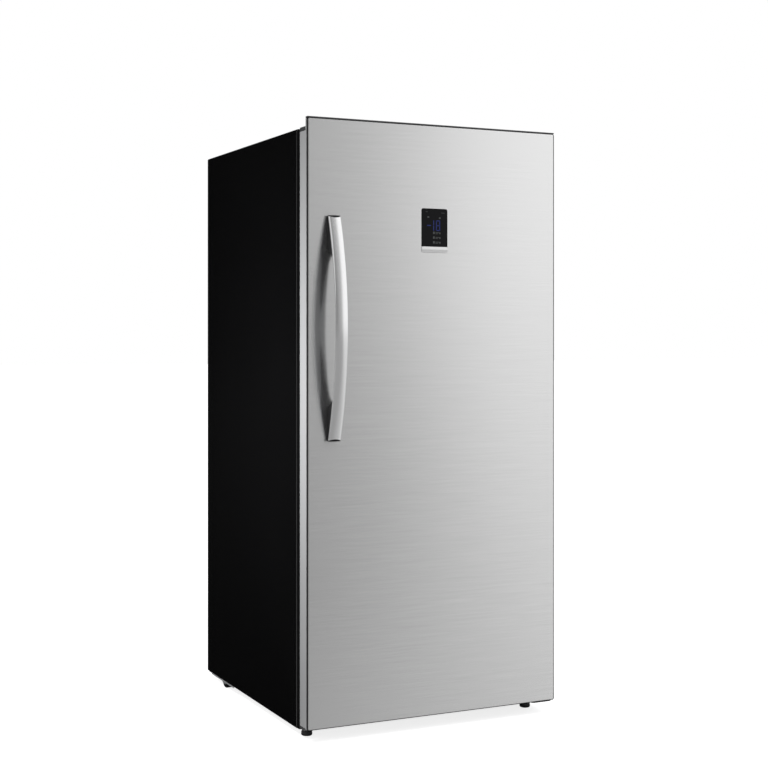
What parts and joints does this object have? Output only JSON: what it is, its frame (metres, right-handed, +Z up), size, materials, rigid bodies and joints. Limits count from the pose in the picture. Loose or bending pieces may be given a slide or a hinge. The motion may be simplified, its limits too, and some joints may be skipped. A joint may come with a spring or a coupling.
{
  "type": "upright freezer",
  "caption": "Upright freezer: black cabinet, stainless door hinged on the right with a tall bowed handle and a touch panel, shelves, basket and door bins inside.",
  "frame": {"origin": "on the floor, under the middle of the whole object with its handle", "axes": "+Z up, the door faces -Y, +X towards the hinge side"},
  "size_m": [0.711, 0.8084, 1.54],
  "materials": {
    "black_paint": "semi-gloss black paint on sheet steel",
    "stainless": "horizontal brushed, satin",
    "satin_silver": "satin silver",
    "silver_trim": "fine matte silver grey",
    "dark_plastic": "matte dark grey",
    "black_plastic": "matte black",
    "white_plastic": "glossy white, vacuum formed or moulded",
    "clear_plastic": "clear moulded",
    "shelf_glass": "tempered, clear",
    "black_glass": "glossy black",
    "galvanised": "galvanised, lightly spangled",
    "steel": "zinc plated",
    "white_wire": "white coating on steel wire",
    "rubber": "soft, matte",
    "foam": "rigid foam",
    "fin_aluminium": "bare fins",
    "copper": "bare copper tube"
  },
  "bodies": {
    "cabinet": {"outer_shell": "black_paint", "rear_panel": "galvanised", "foam_insulation": "foam", "inner_liner": "white_plastic", "base_pan": "galvanised", "top_hinge": "steel", "top_hinge_cover": "black_plastic", "bottom_hinge": "black_paint", "roller_bracket_left": "galvanised", "roller_bracket_right": "galvanised", "roller_axle_left": "steel", "roller_axle_right": "steel", "compressor_plate": "galvanised", "compressor": "black_paint", "compressor_terminal_cover": "black_plastic", "drain_pan": "black_plastic", "compressor_grommet_1": "rubber", "compressor_grommet_2": "rubber", "compressor_grommet_3": "rubber", "compressor_grommet_4": "rubber", "drain_tube": "black_plastic", "suction_line": "copper", "rear_cover": "galvanised", "power_inlet": "black_plastic", "evaporator_cover": "white_plastic", "evaporator": "fin_aluminium", "fan_motor": "steel", "glass_shelf_1": "shelf_glass", "glass_shelf_2": "shelf_glass", "glass_shelf_3": "shelf_glass", "shelf_trim_1": "satin_silver", "shelf_trim_2": "satin_silver", "shelf_trim_3": "satin_silver", "lamp_lens": "clear_plastic"},
    "door": {"door_panel": "stainless", "door_trim_left": "silver_trim", "door_trim_right": "silver_trim", "door_top_cap": "dark_plastic", "door_bottom_cap": "dark_plastic", "door_foam": "foam", "door_liner": "white_plastic", "door_gasket": "rubber", "door_bin_1": "clear_plastic", "door_bin_2": "clear_plastic", "door_bin_3": "clear_plastic", "door_bin_4": "clear_plastic", "hinge_bushing_top": "white_plastic", "hinge_bushing_bottom": "white_plastic", "handle_cover": "satin_silver", "handle_core": "black_plastic", "control_glass": "black_glass", "control_trim": "satin_silver", "control_housing": "black_plastic"},
    "basket": {"wire_basket": "white_wire"},
    "leg_left": {"levelling_leg_left": "dark_plastic"},
    "leg_right": {"levelling_leg_right": "dark_plastic"},
    "roller_left": {"rear_roller_left": "black_plastic"},
    "roller_right": {"rear_roller_right": "black_plastic"},
    "fan": {"evaporator_fan": "black_plastic"}
  },
  "joints": [
    {"name": "door_hinge", "type": "hinge", "parent": "cabinet", "child": "door", "pos_m": [0.338, -0.30775, 0.8], "axis": [0, 0, 1], "range_deg": [0, 120]},
    {"name": "basket_slide", "type": "slide", "parent": "cabinet", "child": "basket", "axis": [0, -1, 0], "range_m": [0, 0.21]},
    {"name": "leg_left_turn", "type": "hinge", "parent": "cabinet", "child": "leg_left", "pos_m": [-0.32, -0.24275, 0.03], "axis": [0, 0, 1], "continuous": true},
    {"name": "leg_right_turn", "type": "hinge", "parent": "cabinet", "child": "leg_right", "pos_m": [0.32, -0.24275, 0.03], "axis": [0, 0, 1], "continuous": true},
    {"name": "roller_left_spin", "type": "hinge", "parent": "cabinet", "child": "roller_left", "pos_m": [-0.335, 0.28625, 0.022], "axis": [1, 0, 0], "continuous": true},
    {"name": "roller_right_spin", "type": "hinge", "parent": "cabinet", "child": "roller_right", "pos_m": [0.335, 0.28625, 0.022], "axis": [1, 0, 0], "continuous": true},
    {"name": "fan_spin", "type": "hinge", "parent": "cabinet", "child": "fan", "pos_m": [0, 0.3, 1.14], "axis": [0, 1, 0], "continuous": true}
  ],
  "couplings": [
    {"joint": "basket_slide", "follows": "door_hinge", "m_per_rad": 0.1}
  ]
}
